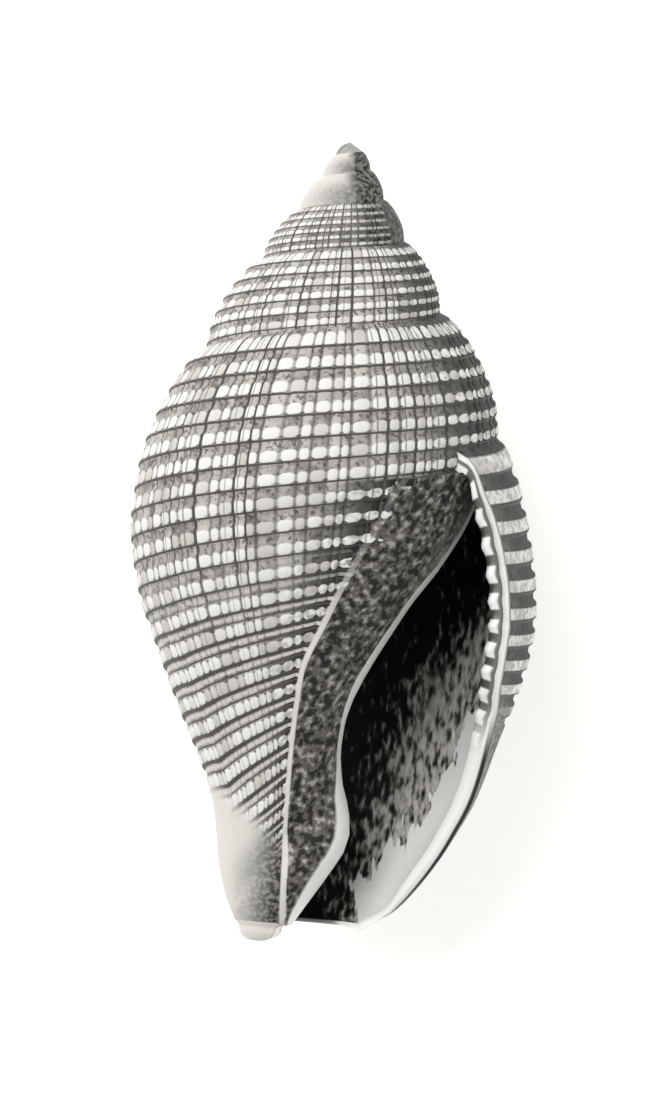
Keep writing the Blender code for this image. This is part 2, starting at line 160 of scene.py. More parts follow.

# Lines on the front, each a depth and a distance from the axis: the glaze lies right of the
# first, white porcelain right of the second, and the hollow is painted black as shade left of the
# third.
GLAZE_EDGE = ((14.4, 7.0), (15.0, 5.5), (15.9, 4.35), (17.1, 3.45), (18.7, 2.7), (21.1, 1.5),
              (23.8, 0.35), (26.6, -0.6), (31.0, -0.8), (39.0, -0.7))
PORCELAIN_EDGE = ((26.5, 9.0), (28.5, 7.9), (30.5, 7.2), (32.5, 6.3), (34.0, 5.4), (35.5, 4.2),
                  (36.6, 3.3), (39.0, 2.8))
BLACK_EDGE = ((22.0, 9.0), (24.3, 6.7), (27.5, 4.5), (32.6, 3.1), (37.0, 2.0))
FAR = 9.0
GLAZE_SOFTNESS = 0.25
GLAZE_THICKNESS = 0.15
GLAZE_RIDGE = 0.14
GLAZE_RIDGE_WIDTH = 0.22
GLAZE_RIDGE_PLACE = 0.15
GLAZE_RIDGE_FADE = 10.0
RIDGE_DEPTHS = (19.0, 25.0)
RIDGE_LEFT_ABOVE = 0.1

# The painted highlight along the inner lip's turning edge: its width at each depth, and the
# degrees past the edge that count as one width.
EDGE_WIDTHS = ((24, 0.17), (31, 0.2), (33.5, 0.65), (36.5, 0.75), (39, 0.35))
EDGE_WRAP = 30.0

# Painted shade on the wall, for light that falls from the upper left: how far round from the
# right side it reaches, as cosines, and how wide it is beside the glaze at each depth. The first
# whorls get more painted shade.
SHADED_SIDE = (0.25, 0.98)
EARLY_SHADE_ANGLES = (-1110.0, -690.0)
EARLY_SHADE_SPREAD = 0.6
SHADED_BY_GLAZE = ((20.0, 4.5), (26.0, 3.0), (31.0, 1.6), (34.0, 1.8), (36.5, 3.0))
SHADED_LOWER_WHORL = 0.7
SHADED_WHORL_ROWS = (0.3, 4.0)
SHADED_WHORL_SIDE = (-1.2, 0.1)
APEX_SHADE = 0.5

# The small flat spot on the back, and the coil axis as seen from the origin.
REST_DROP = 9.93
AXIS_ACROSS = -0.666
APEX_ALONG = 20.0

# Facets. Each thread is a cell between two furrows, and each list gives the places in a cord
# or a thread that get a row or a column. The threads' widths vary in two waves, each with its
# size, its step from thread to thread and its start.
CORD_PLACES = (0.0, 0.12, 0.25, 0.5, 0.75, 0.88)
THREAD_PLACES = (0.0, 0.12, 0.3, 0.7, 0.88)
COARSE_PLACES = (0.0, 0.2, 0.5, 0.8)
CANAL_PLACES = (0.0, 0.33, 0.67)
THREADS_BY_TURN = (50, 62, 74)
UNEVENNESS = ((0.34, 2.1, 0.0), (0.22, 5.3, 1.0))
OPENING_ANGLE = LIP_ANGLE - TURN
TURN_STARTS = (OPENING_ANGLE - 2 * TURN, OPENING_ANGLE - TURN, OPENING_ANGLE)
APEX_ANGLE = OPENING_ANGLE - 1680.0
EARLY_STEP = 5.0
EARLY_ROWS = np.linspace(0, SPIRE_CORDS, 2 * SPIRE_CORDS + 1)
RIM_SHARES = np.array((0.0, 0.02, 0.05, 0.09, 0.15, 0.22, 0.3, 0.38, 0.46, 0.54, 0.63, 0.72, 0.81,
                       0.9, 1.0))
HOLLOW_STEP = 5.0
DEEP_STEP = 15.0
DEEP_UNTIL = LIP_ANGLE - 240.0
HOLLOW_ROWS_PER_CORD = 3
TURNING_EDGE_ROWS = 77
WELD = 0.002
SHARP_ANGLE = 60.0

# The three finishes of the shell, the pattern's map, and the marks that steer a finish, with
# their values where it is plain.
WALL, HOLLOW, RIM = range(3)
PATTERN = "pattern"
PLAIN_MARKS = {"lattice": 0.0, "furrows": 0.0, "shade": 0.0, "glaze": -FAR, "ridge": 0.0,
               "edge": FAR, "porcelain": -FAR, "grey": -FAR}

# Colours of the shell.
ARAGONITE_IOR = 1.6
CORD_WHITE = "#F6F4EF"
CORD_WORN = "#D3D0C9"
# The cords' grey where shade is painted on them.
CORD_SHADED = "#B9B6B0"
BONE_WHITE = "#E4E1DA"
# The grooves' greys are painted shade between the cords.
BETWEEN_LIGHT = "#CDCAC3"
BETWEEN_DARK = "#7C7974"
# The darkest shade painted on the wall.
WALL_PAINTED_SHADE = "#242221"
# Dark lines in the furrows and on the rim, and the painted shadow line under each cord.
DARK_LINE = "#575450"
FINE_THREAD = "#DCD9D2"
STIPPLE_DARK = "#9D9A94"
# Painted shade on the glaze and the rim, with the glaze's paler specks.
MID_PAINTED_SHADE = "#68655F"
GLAZE_LIGHT = "#B3B0AA"
DEEP_PAINTED_SHADE = "#2A2826"
PORCELAIN = "#FBFAF7"
# The hollow's black to pale greys are painted shade, lifting towards the lip.
HOLLOW_PAINTED_SHADOW = "#161514"
HOLLOW_DUSK = "#6B6863"
HOLLOW_GREY = "#B5B2AC"
HOLLOW_LIGHT = "#D8D5CF"
PAPER_WHITE = "#FAFAF8"

# How a cord looks across, in shares of the step from groove to groove: its white top and what
# that loses in the painted shade and beside a furrow, the fine thread in the groove, the painted
# shadow line under the cord and the dark line over it. The first cord is broader. In a pair like
# these, a mark begins at the first value and is full at the second.
WHITE_TOP = (0.27, 0.21)
SHADED_TOP_LOST = 0.045
BEADED_STRENGTH = (0.0, 0.15)
BEAD_TOP_LOST = 0.1
BEAD_REACH = (0.32, 0.05)
FIRST_CORD_SQUEEZE = 0.78
FIRST_CORD_ENDS = (1.0, 1.01)
FINE_THREAD_BEGINS = (0.4, 0.45)
UNDER_LINE = 0.8
UNDER_LINE_WIDTH = (0.055, 0.03)
LOW_UNDER_LINE_WIDTH = (0.1, 0.06)
OVER_LINE = 0.18
OVER_LINE_WIDTH = (0.05, 0.02)

# The furrows' dark lines, in shares of a thread. Chance makes some of them faint, and gives some
# threads a second line.
FURROW_LINE = (0.13, 0.07)
FAINT_FURROWS = (0.2, 0.55)
FAINTEST_FURROW = 0.5
SECOND_LINE = (0.07, 0.03)
SECOND_LINE_PLACES = (0.32, 0.7)
SECOND_LINE_CHANCES = (0.4, 0.7)
SECOND_LINE_STRENGTH = 0.65

# How noise and chance become clouds, worn cells and stipple.
NOISE_SPAN = (0.3, 0.7)
HALF_A_ROW = (0.0, 0.5, 0.0)
BETWEEN_CLOUDS = (0.35, 0.65)
LEAST_CLOUD = 0.4
CORD_CLOUDS = (0.4, 0.65)
WORN_CELLS = (0.6, 1.0)
STIPPLED = (0.52, 0.68)
PLAIN_STIPPLED = (0.35, 0.6)
LEAST_PLAIN_STIPPLE = 0.7

# The glaze and its ridge, in millimetres right of the glaze's edge, then the painted highlight's
# band and the glaze at the turning edge, in widths of the band.
GLAZED = (-0.05, 0.05)
RIDGE_BEGINS = (-0.1, 0.0)
RIDGE_ENDS = (0.25, 0.17)
RAGGED_REACH = 0.8
EDGE_BEGINS = (-0.35, -0.2)
EDGE_ENDS = (1.15, 0.85)
EDGE_GLAZED = (-0.2, 0.0)
# The glaze is painted dark as shade, with darker and paler specks.
GLAZE_SPECKS = ((0.42, DEEP_PAINTED_SHADE), (0.5, MID_PAINTED_SHADE), (0.56, MID_PAINTED_SHADE), (0.66, GLAZE_LIGHT))

# The hollow's porcelain and its grey, where its painted shade lifts, in millimetres right of
# their lines on the front. The grey shifts the noise of the streaks.
PORCELAIN_BEGINS = (-0.05, 0.1)
JAG_REACH = 0.8
GREY_BEGINS = (-1.0, 2.0)
GREY_SHIFTS = (-0.2, 0.1)
HOLLOW_STREAKS = ((0.4, HOLLOW_PAINTED_SHADOW), (0.5, HOLLOW_DUSK), (0.6, HOLLOW_GREY),
                  (0.75, HOLLOW_LIGHT))

# The lip's rim from its outer edge (0) to its inner one (1): with teeth, low down, and where
# the canal opens. The trough's greys, the dark outer edge low down and the canal's greys are
# painted shade.
RIM_TROUGH = ((0.0, DARK_LINE), (0.04, PORCELAIN), (0.32, PORCELAIN), (0.37, DARK_LINE),
              (0.42, BETWEEN_DARK), (0.5, BETWEEN_DARK), (0.6, MID_PAINTED_SHADE), (1.0, DEEP_PAINTED_SHADE))
RIM_PLAIN = ((0.14, DEEP_PAINTED_SHADE), (0.22, PORCELAIN))
RIM_CANAL = ((0.3, DARK_LINE), (0.45, HOLLOW_GREY), (1.0, HOLLOW_DUSK))
WHITE_TOOTH_BEGINS = (0.5, 0.6)
WHITE_TOOTH_SIDES = (0.14, 0.24)

# Sizes of the finest marks in millimetres, each drawn just coarse enough to show. Streaks and
# jags are drawn out, and have a number of grains in a millimetre along each axis.
STIPPLE_GRAIN = 0.22
SPECK_GRAIN = 0.4
BETWEEN_CLOUD_GRAIN = 0.5
CORD_CLOUD_GRAIN = 0.35
RAGGED_GRAIN = 1.0
ROUGH_DETAIL = 3.0
STREAK_GRAINS = (1 / 0.24, 1 / 0.8, 1 / 0.8)
JAG_GRAINS = (2.0, 0.5, 0.0)
GRIT_STRENGTH = 0.4
GRIT_DEPTH = 0.04

# The camera looks straight down, and sees this length of floor at the height of the coil axis.
VIEW_CENTRE = (-0.237, -0.149)
VIEW_TURN = 4.29
VIEW_LENGTH = 54.4
LENS = 300.0
SENSOR = 36.0
NEAREST_VIEW = 0.01

# The floor's size and glow, and each light's direction, distance, width and power.
FLOOR_SIZE = 1.5
FLOOR_GLOW = 0.55
LIGHTS = (("key from the upper left", (-0.52, 0.42, 0.95), 0.8, 0.5, 4.6),
          ("softbox overhead", (0.1, 0.0, 1.0), 1.0, 0.9, 2.2),
          ("weak fill from the right", (0.8, -0.2, 0.6), 0.9, 0.6, 1.3))
DAYLIGHT = 0.16

# Kinds of nodes and their options.
MATH = "ShaderNodeMath"
VECTOR_MATH = "ShaderNodeVectorMath"
MAP_RANGE = "ShaderNodeMapRange"
MIX = "ShaderNodeMix"
RAMP = "ShaderNodeValToRGB"
MARK = "ShaderNodeAttribute"
NOISE = "ShaderNodeTexNoise"
CHANCE = "ShaderNodeTexWhiteNoise"
ON_SHELL = "ShaderNodeTexCoord"
OPERATIONS = ("MULTIPLY", "ADD", "SUBTRACT", "MAXIMUM", "ABSOLUTE", "FRACT", "FLOOR", "ROUND")
MULTIPLY, ADD, SUBTRACT, MAXIMUM, ABSOLUTE, FRACT, FLOOR, ROUND = (
    {"operation": name} for name in OPERATIONS)
SMOOTH = "SMOOTHSTEP"
EVEN = "LINEAR"
COLOUR_MIX = {"data_type": "RGBA"}
TINT = {"data_type": "RGBA", "blend_type": "MULTIPLY"}


def smooth_step(low, high, value):
    share = np.clip((value - low) / (high - low), 0.0, 1.0)
    return share * share * (3 - 2 * share)


def read_curve(points, x):
    """Smooth curve through a few points that never overshoots them, level past both ends."""
    xs, ys = np.array(points, float).T
    steps = np.diff(ys) / np.diff(xs)
    before, after = steps[:-1], steps[1:]
    bends = before * after <= 0
    inner = np.where(bends, 0.0, 2 * before * after / np.where(bends, 1.0, before + after))
    slopes = np.concatenate((steps[:1], inner, steps[-1:]))
    x = np.clip(x, xs[0], xs[-1])
    index = np.clip(np.searchsorted(xs, x, side="right") - 1, 0, len(xs) - 2)
    width = xs[index + 1] - xs[index]
    t = (x - xs[index]) / width
    level = ys[index] * (1 - 3 * t ** 2 + 2 * t ** 3) + ys[index + 1] * (3 * t ** 2 - 2 * t ** 3)
    leaving = slopes[index] * width * (t - 2 * t ** 2 + t ** 3)
    arriving = slopes[index + 1] * width * (t ** 3 - t ** 2)
    return level + leaving + arriving


def pick(values, index):
    """Values at an index for each point, from one list or from a list for each point."""
    index = np.clip(index, 0, len(values) - 1)
    if values.ndim == 1:
        return values[index]
    return np.take_along_axis(values, index[None], axis=0)[0]


def blend_values(values, position):
    """Smooth curve through evenly spaced values."""
    index = np.clip(np.floor(position).astype(int), 0, len(values) - 2)
    t = position - index
    a, b, c, d = (pick(values, index + step) for step in (-1, 0, 1, 2))
    curve = 2 * b + (c - a) * t + (2 * a - 5 * b + 4 * c - d) * t ** 2
    return 0.5 * (curve + (3 * b - a - 3 * c + d) * t ** 3)


def suture_depth(angle):
    return blend_values(SUTURE_DEPTHS, (angle - SUTURE_START) / HALF_TURN)


def suture_radius(angle):
    return blend_values(SUTURE_RADII, (angle - SUTURE_START) / HALF_TURN)


def cord_spacing(angle):
    return (suture_depth(angle + TURN) - suture_depth(angle)) / SPIRE_CORDS


def row_depth(angle, row):
    """Cords keep their spacing, squeezed where they would run past the base."""
    top = suture_depth(angle)
    ribbed = cord_spacing(angle) * CORDS
    below = cord_spacing(angle) * np.minimum(row, CORDS)
    squeeze = np.maximum(0.0, top + ribbed - RIBBED_LIMIT) / ribbed
    depth = top + below * (1 - squeeze * below / ribbed)
    canal_share = np.maximum(0.0, row - CORDS) / CANAL_ROWS
    return depth + (BASE_DEPTH - depth) * canal_share


def row_at_depth(angle, depth):
    low = np.zeros_like(depth)
    high = np.full_like(depth, BASE_ROW)
    for _ in range(HALVINGS):
        middle = (low + high) / 2
        above = row_depth(angle, middle) < depth
        low = np.where(above, middle, low)
        high = np.where(above, high, middle)
    return high


def shoulder_radius(angle, depth):
    share = (depth - suture_depth(angle)) / (cord_spacing(angle) * SPIRE_CORDS)
    top = suture_radius(angle)
    return top + (suture_radius(angle + TURN) - top) * read_curve(WHORL_SWELL, share)


def outline_changes(row):
    """How the radius changes below the shoulder, at each half turn that has an outline."""
    changes = []
    for number, outline in enumerate(OUTLINES):
        angle = FIRST_OUTLINE_ANGLE + number * HALF_TURN
        start = read_curve(outline, row_depth(angle, SPIRE_CORDS))
        changes.append(read_curve(outline, row_depth(angle, row)) - start)
    changes.append(2 * changes[-1] - changes[-2])
    return np.array(changes)


def wall_section(angle, row):
    """Depth and radius on the smooth wall."""
    shoulder = shoulder_radius(angle, row_depth(angle, np.minimum(row, SPIRE_CORDS)))
    outlined = np.maximum(angle, FIRST_OUTLINE_ANGLE)
    changes = outline_changes(np.maximum(row, SPIRE_CORDS))
    change = blend_values(changes, (outlined - FIRST_OUTLINE_ANGLE) / HALF_TURN)
    scale = suture_depth(angle) / suture_depth(outlined)
    return np.stack((row_depth(angle, row), shoulder + change * scale), axis=-1)


def unit(vectors):
    return vectors / np.linalg.norm(vectors, axis=-1, keepdims=True)


def wall_normal(angle, row):
    """Outward direction of the smooth wall in its section."""
    above = wall_section(angle, np.maximum(row - SLOPE_REACH, 0.0))
    below = wall_section(angle, np.minimum(row + SLOPE_REACH, BASE_ROW))
    along = below - above
    return unit(np.stack((-along[..., 1], along[..., 0]), axis=-1))


def axis_drift(depth):
    return FOOT_DRIFT * smooth_step(*FOOT_DRIFT_DEPTHS, depth)


def place(angle, section):
    """Points in millimetres, measured from the coil axis at the apex."""
    turn = np.radians(angle)
    depth, radius = section[..., 0], section[..., 1]
    across = axis_drift(depth) + radius * np.cos(turn)
    return np.stack((across, -depth, radius * np.sin(turn)), axis=-1)


def thread_angles(start, threads):
    """Angles of the furrows of one turn, as uneven as growth was."""
    number = np.arange(threads)
    waves = (size * np.sin(step * number + first) for size, step, first in UNEVENNESS)
    widths = sum(waves, start=1.0)
    return start + TURN * np.concatenate(([0.0], np.cumsum(widths))) / widths.sum()


TURNS = zip(TURN_STARTS, THREADS_BY_TURN)
FURROW_ANGLES = np.concatenate([thread_angles(*turn)[:-1] for turn in TURNS] + [[LIP_ANGLE]])
FURROW_NUMBERS = np.arange(len(FURROW_ANGLES))


def thread_number(angle):
    return np.interp(angle, FURROW_ANGLES, FURROW_NUMBERS)


def thread_columns(turn_number, places):
    """Angles of the columns of one turn, with a few in each thread."""
    first = sum(THREADS_BY_TURN[:turn_number])
    numbers = np.arange(first, first + THREADS_BY_TURN[turn_number])
    columns = (numbers[:, None] + np.array(places)).ravel()
    columns = np.append(columns, numbers[-1] + 1)
    return np.interp(columns, FURROW_NUMBERS, FURROW_ANGLES)


def lattice_strength(angle, section):
    """1 where cords and furrows are strong, 0 on the smooth first whorls and by the canal."""
    end = read_curve(CORDS_END, angle)
    kept = 1 - smooth_step(end - CORDS_FADE, end + CORDS_FADE, section[..., 0])
    return kept * smooth_step(SMOOTH_UNTIL, RIBBED_FROM, angle)


def distance_from_whole(value):
    return np.abs(value - np.round(value))


def groove_depth(angle, row):
    from_groove = distance_from_whole(row)
    groove = 1 - smooth_step(GROOVE_FLOOR, CORD_TOP, from_groove)
    fine_thread = 1 - smooth_step(0.0, GROOVE_FLOOR, from_groove)
    groove -= FINE_THREAD_SHARE * fine_thread * smooth_step(*FINE_THREAD_ROWS, row)
    return groove * GROOVE_SHARE * cord_spacing(angle)


def furrow_strength(angle, row):
    """1 where the lengthwise furrows are deepest."""
    strength = 1 - (1 - FURROW_LEFT_BELOW) * smooth_step(*FURROW_ROWS, row)
    on_left = smooth_step(*CALM_SIDE, -np.cos(np.radians(angle)))
    strength *= 1 - (1 - FURROW_LEFT_CALM) * on_left
    return strength * (1 - smooth_step(*FURROW_LIP_FADE, angle))


def furrow_depth(angle, row, thread):
    furrow = 1 - smooth_step(0.0, FURROW_WIDTH, distance_from_whole(thread))
    size = cord_spacing(angle) / cord_spacing(-HALF_TURN)
    return furrow * furrow_strength(angle, row) * FURROW_DEPTH * size


def glaze_reach(angle, row, section):
    """How far a point on the front lies right of the glaze's edge."""
    across = axis_drift(section[..., 0]) + section[..., 1] * np.cos(np.radians(angle))
    reach = across - read_curve(GLAZE_EDGE, section[..., 0])
    by_opening = (row >= SEAM_ROW) & (angle < OPENING_ANGLE + HALF_TURN)
    return np.where(by_opening, reach, -FAR)


def ridge_strength(section):
    """The glaze's edge stands up in a ridge low down, and hardly higher up."""
    return RIDGE_LEFT_ABOVE + (1 - RIDGE_LEFT_ABOVE) * smooth_step(*RIDGE_DEPTHS, section[..., 0])


def shaded_share(angle, row, section):
    """1 where most shade is painted: the wall's right side, beside the glaze and low on a whorl."""
    early = 1 - smooth_step(*EARLY_SHADE_ANGLES, angle)
    rightness = np.cos(np.radians(angle))
    side = smooth_step(*SHADED_SIDE, rightness + EARLY_SHADE_SPREAD * early)
    width = read_curve(SHADED_BY_GLAZE, section[..., 0])
    by_glaze = smooth_step(-1.0, 0.0, glaze_reach(angle, row, section) / width)
    low = SHADED_LOWER_WHORL * early * smooth_step(*SHADED_WHORL_ROWS, row)
    low *= smooth_step(*SHADED_WHORL_SIDE, rightness)
    return np.maximum(np.maximum(side, by_glaze), low)


def relief(angle, row, thread):
    """Step from the smooth wall to its grooved or glazed surface."""
    section = wall_section(angle, row)
    reach = glaze_reach(angle, row, section)
    covered = smooth_step(-GLAZE_SOFTNESS, GLAZE_SOFTNESS, reach)
    ridge = np.exp(-((reach - GLAZE_RIDGE_PLACE) / GLAZE_RIDGE_WIDTH) ** 2)
    ridge *= smooth_step(OPENING_ANGLE, OPENING_ANGLE + GLAZE_RIDGE_FADE, angle)
    cut = groove_depth(angle, row) + furrow_depth(angle, row, thread)
    height = GLAZE_THICKNESS * covered + GLAZE_RIDGE * ridge * ridge_strength(section)
    height -= cut * lattice_strength(angle, section) * (1 - covered)
    return wall_normal(angle, row) * height[..., None]


def near_lip(angle, reach):
    """Grows from 0 to 1 over the last degrees before the lip."""
    return smooth_step(LIP_ANGLE - reach, LIP_ANGLE, angle)


def lip_shift(angle, row):
    """The last stretch of the turn is shifted so that it ends on the lip's edge."""
    edge = read_curve(LIP_EDGE, row_depth(LIP_ANGLE, row))
    return (edge - LIP_ANGLE) * near_lip(angle, LIP_REACH)


def outer_points(angle, row):
    turned = angle + lip_shift(angle, row)
    step = relief(turned, row, thread_number(angle))
    step *= (1 - near_lip(angle, LIP_SMOOTH_REACH))[..., None]
    row_above = np.minimum(SPIRE_CORDS + row, BASE_ROW)
    above = relief(angle - TURN, row_above, thread_number(angle - TURN))
    share = np.clip(row, 0.0, 1.0)[..., None]
    return place(turned, wall_section(turned, row) + above * (1 - share) + step * share)


def floor_depth(angle):
    """Where the hollow ends: at the base by the canal, and higher up deeper inside."""
    rise = np.minimum(angle - CANAL_END, 0.0) / HALF_TURN
    lifted = 1 - FLOOR_LIFT * np.minimum(-rise, 1.0)
    return BASE_DEPTH * FLOOR_GROWTH ** rise * lifted


def pillar_section(angle, row):
    """The pillar's wall inside the hollow, for rows from SEAM_ROW to BASE_ROW."""
    last = row_at_depth(angle, floor_depth(angle + TURN))
    share = (row - SEAM_ROW) / (BASE_ROW - SEAM_ROW)
    own_row = SEAM_ROW + (last - SEAM_ROW) * share
    return wall_section(angle, own_row) + wall_normal(angle, own_row) * GLAZE_THICKNESS


def thinned_section(angle, row):
    middle_share = 1 - (2 * row / BASE_ROW - 1) ** 4
    extra = LIP_EXTRA_WALL * near_lip(angle, LIP_THICK_REACH) * middle_share
    wall = THINNEST_WALL + WALL_SHARE * suture_depth(angle) + extra
    at_canal = smooth_step(*CANAL_WALL_ROWS, row) * smooth_step(*CANAL_OPENS, angle)
    wall *= 1 - (1 - CANAL_WALL_LEFT) * at_canal
    return wall_section(angle, row) - wall_normal(angle, row) * wall[..., None]


def floor_correction(angle):
    """Brings the inner wall's foot onto the pillar where the canal is closed."""
    joined = np.minimum(angle, CANAL_END)
    last = row_at_depth(joined, floor_depth(joined))
    foot = pillar_section(joined - TURN, np.full_like(joined, BASE_ROW))
    miss = foot - thinned_section(joined, last)
    return miss * (1 - smooth_step(*CANAL_OPENS, angle))[..., None]


def tooth_share(angle, row):
    """1 on the teeth behind the lip, one for each groove outside."""
    first, full, last, gone = TOOTH_ROWS
    tooth = 1 - smooth_step(0.0, TOOTH_LENGTH, distance_from_whole(row))
    tooth *= smooth_step(first, full, row) * (1 - smooth_step(last, gone, row))
    return tooth * near_lip(angle, TOOTH_REACH)


def inner_points(angle, row):
    """The wall behind the lip."""
    turned = angle + lip_shift(angle, row)
    own_row = row * row_at_depth(turned, floor_depth(turned)) / BASE_ROW
    section = thinned_section(turned, own_row)
    section -= wall_normal(turned, own_row) * TOOTH_HEIGHT * tooth_share(angle, row)[..., None]
    seam = pillar_section(turned - TURN, np.full_like(row, SEAM_ROW))
    at_seam = seam - thinned_section(turned, np.zeros_like(row))
    section += at_seam * (np.maximum(0.0, 1 - row / SEAM_ROWS) ** 2)[..., None]
    near_floor = np.maximum(0.0, 1 - (BASE_ROW - row) / FLOOR_ROWS) ** 2
    return place(turned, section + floor_correction(turned) * near_floor[..., None])


def growing_direction(row):
    turn = np.radians(LIP_ANGLE + lip_shift(LIP_ANGLE, row))
    return np.stack((-np.sin(turn), np.zeros_like(turn), np.cos(turn)), axis=-1)


def across_rim(angle, row, direction, share, bulge):
    """Points on the rim between the outer wall (share 0) and the inner wall (1)."""
    outer, inner = outer_points(angle, row), inner_points(angle, row)
    return outer + (inner - outer) * share[..., None] + direction * bulge[..., None]


def free_lip_points(row, share):
    towards_base = (smooth_step(CORDS, BASE_ROW, row) / 2)[..., None]
    direction = unit(growing_direction(row) * (1 - towards_base) + BASEWARD * towards_base)
    plain = smooth_step(*PLAIN_RIM_ROWS, row)
    start, middle, end = TOOTH_SHARES
    on_tooth = smooth_step(start, middle, share) * (1 - smooth_step(middle, end, share))
    tooth = TOOTH_RISE * on_tooth * tooth_share(LIP_ANGLE, row)
    ridged = read_curve(RIM_RIDGE, share) + tooth
    bulge = RIM_BULGE * np.sin(np.pi * share) * plain + ridged * (1 - plain)
    return across_rim(np.full_like(row, LIP_ANGLE), row, direction, share, bulge)


def lip_rim_points(row, share):
    """The lip's rim, whose upper end lies on the turn before it."""
    on_seam = outer_points(np.full_like(row, OPENING_ANGLE), SPIRE_CORDS + share)
    miss = on_seam - free_lip_points(np.zeros_like(row), share)
    return free_lip_points(row, share) + miss * (np.maximum(0.0, 1 - row) ** 2)[..., None]


def base_rim_points(angle, share):
    row = np.full_like(angle, BASE_ROW)
    at_lip = near_lip(angle, RIM_CORNER)
    towards_lip = (at_lip / 2)[..., None]
    direction = unit(BASEWARD * (1 - towards_lip) + growing_direction(row) * towards_lip)
    bulge = (CANAL_BULGE + (RIM_BULGE - CANAL_BULGE) * at_lip) * np.sin(np.pi * share)
    return across_rim(angle, row, direction, share, bulge)


def turning_edge():
    """The edge where the pillar's wall turns into the hollow: depths, places and angles."""
    rows = np.linspace(SEAM_ROW, BASE_ROW, TURNING_EDGE_ROWS)
    angles = np.arange(OPENING_ANGLE - HALF_TURN / 2, OPENING_ANGLE + HALF_TURN / 2)
    angle_grid, row_grid = np.meshgrid(angles, rows)
    points = place(angle_grid, pillar_section(angle_grid, row_grid))
    outermost = (np.arange(len(rows)), points[..., 0].argmax(axis=1))
    return -points[outermost][:, 1], points[outermost][:, 0], angle_grid[outermost]


EDGE_DEPTHS, EDGE_PLACES, EDGE_ANGLES = turning_edge()


def edge_reach(angle, points):
    """How far left of the inner lip's turning edge a point lies, in widths of its bright band.

    Past the edge, on the hollow's side, it is negative and goes by the angle.
    """
    depth = -points[..., 1]
    reach = np.interp(depth, EDGE_DEPTHS, EDGE_PLACES) - points[..., 0]
    before = angle - np.interp(depth, EDGE_DEPTHS, EDGE_ANGLES)
    return np.where(before < 0, before / EDGE_WRAP, np.abs(reach) / read_curve(EDGE_WIDTHS, depth))


def line_reach(line, points):
    """How far right of a line on the front a point lies."""
    return points[..., 0] - read_curve(line, -points[..., 1])


def outside(angle, row):
    """The outer wall: its points, its pattern coordinates, and its marks for the finish."""
    points = outer_points(angle, row)
    section = wall_section(angle, row)
    by_opening = (row >= SEAM_ROW) & (angle >= OPENING_ANGLE)
    near_edge = by_opening & (angle < OPENING_ANGLE + HALF_TURN / 2)
    marks = {
        "lattice": lattice_strength(angle, section),
        "furrows": furrow_strength(angle, row),
        "shade": shaded_share(angle, row, section),
        "glaze": glaze_reach(angle, row, section),
        "ridge": ridge_strength(section),
        "edge": np.where(near_edge, edge_reach(angle, points), FAR),
    }
    return points, (thread_number(angle), row), marks


def pillar(angle, row):
    """The pillar's wall, from the front into the hollow."""
    points = place(angle, pillar_section(angle, row))
    marks = {"edge": edge_reach(angle, points), "grey": line_reach(BLACK_EDGE, points)}
    return points, (angle / TURN, row), marks


def behind_lip(angle, row):
    """The inside of the outer wall."""
    points = inner_points(angle, row)
    marks = {
        "edge": np.full_like(row, -FAR),
        "porcelain": np.where(angle > -HALF_TURN / 2, line_reach(PORCELAIN_EDGE, points), -FAR),
        "grey": line_reach(BLACK_EDGE, points),
    }
    return points, (angle / TURN, row), marks


def lip_rim(row, share):
    return lip_rim_points(row, share), (share, row), {}


def base_rim(angle, share):
    """The canal's rim, whose pattern runs past the base row away from the lip."""
    from_lip = 1 - smooth_step(*CANAL_RIM_ANGLES, angle)
    return base_rim_points(angle, share), (share, BASE_ROW + from_lip), {}


def mark_loop(bm, loop, pattern, marks):
    loop[bm.loops.layers.uv[PATTERN]].uv = pattern
    for name, value in marks.items():
        loop[bm.loops.layers.float[name]] = value


def set_surface(bm, verts, surface, finish, first, second):
    """Puts loose vertices in place on a surface, with its pattern, marks and finish."""
    first, second = np.array(first, float), np.array(second, float)
    points, pattern, marks = surface(first, second)
    plain = {name: np.full(len(verts), value) for name, value in PLAIN_MARKS.items()}
    marks = {**plain, **marks}
    for number, vert in enumerate(verts):
        vert.co = points[number] * MM
        place_on_pattern = (pattern[0][number], pattern[1][number])
        own_marks = {name: values[number] for name, values in marks.items()}
        for loop in vert.link_loops:
            mark_loop(bm, loop, place_on_pattern, own_marks)
            loop.face.material_index = finish


def set_plain(bm, faces, finish, shade=0.0):
    """Gives faces a finish with none of the marks that change it, but for some painted shade."""
    for face in faces:
        face.material_index = finish
        for loop in face.loops:
            mark_loop(bm, loop, (0.0, 0.0), {**PLAIN_MARKS, "shade": shade})


def add_patch(bm, surface, finish, columns, rows):
    """A grid of facets laid on a surface."""
    last_column, last_row = len(columns) - 1, len(rows) - 1
    grid = bmesh.ops.create_grid(bm, x_segments=last_column, y_segments=last_row, size=1.0)
    verts = grid["verts"]
    across = [columns[round((vert.co.x + 1) / 2 * last_column)] for vert in verts]
    down = [rows[round((vert.co.y + 1) / 2 * last_row)] for vert in verts]
    set_surface(bm, verts, surface, finish, across, down)


def add_chain(bm, points):
    verts = [bm.verts.new(point * MM) for point in points]
    return verts, [bm.edges.new(pair) for pair in zip(verts, verts[1:])]


def add_strip(bm, surface, finish, *lines):
    """A strip of facets between two lines on a surface, which may differ in their points."""
    lines = [np.broadcast_arrays(*map(np.float64, line)) for line in lines]
    chains = [add_chain(bm, surface(*line)[0]) for line in lines]
    bmesh.ops.bridge_loops(bm, edges=chains[0][1] + chains[1][1])
    for (verts, _), line in zip(chains, lines):
        set_surface(bm, verts, surface, finish, *line)


def cord_rows(first, last, places):
    return np.array([row + place for row in range(first, last) for place in places])


